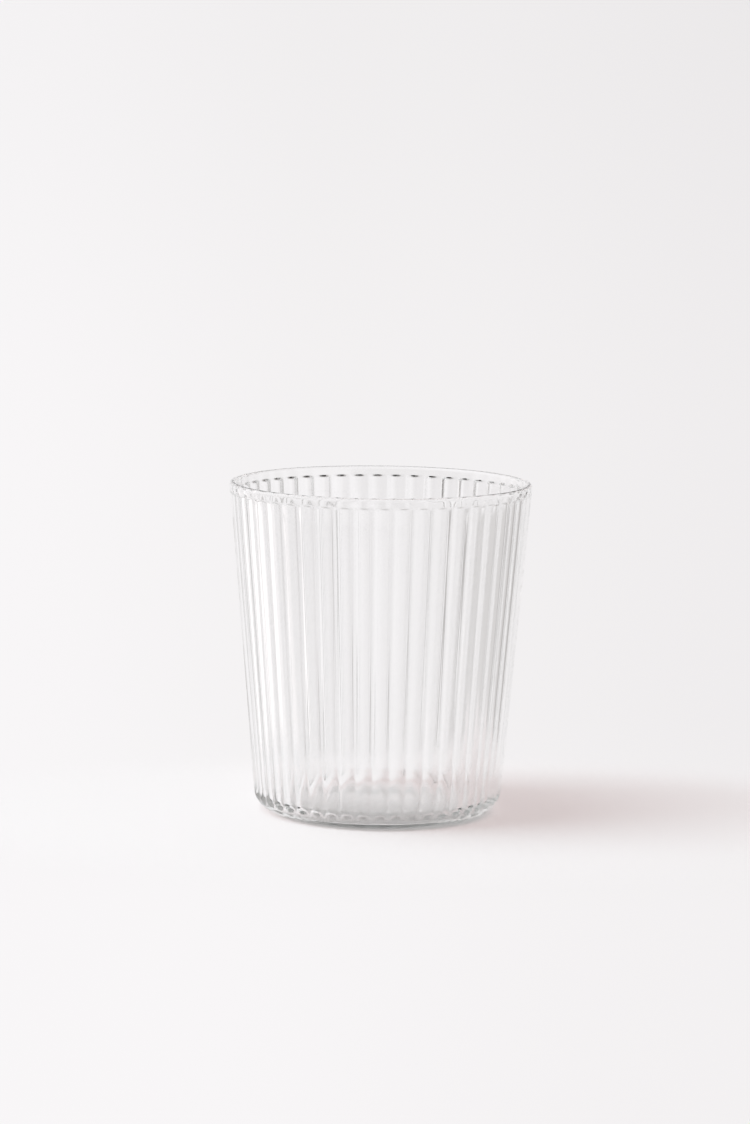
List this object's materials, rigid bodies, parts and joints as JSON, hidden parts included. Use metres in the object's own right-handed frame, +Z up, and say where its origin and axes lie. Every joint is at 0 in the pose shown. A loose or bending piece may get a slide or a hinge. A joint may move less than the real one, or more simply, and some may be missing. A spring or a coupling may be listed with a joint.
{
  "type": "water glass",
  "caption": "Tapered tumbler of clear glass with shallow upright flutes outside, a plain band and round bead at the rim and a rounded heel; holds a cold drink.",
  "frame": {"origin": "centre of the ring that the glass stands on, in the plane of the table", "axes": "+Z up along the axis of the glass; -Y faces the viewer and +X is to the viewer's right"},
  "size_m": [0.0848, 0.0848, 0.093],
  "materials": {
    "glass": "clear, fire-polished"
  },
  "bodies": {
    "root": {"tumbler": "glass"}
  },
  "joints": []
}
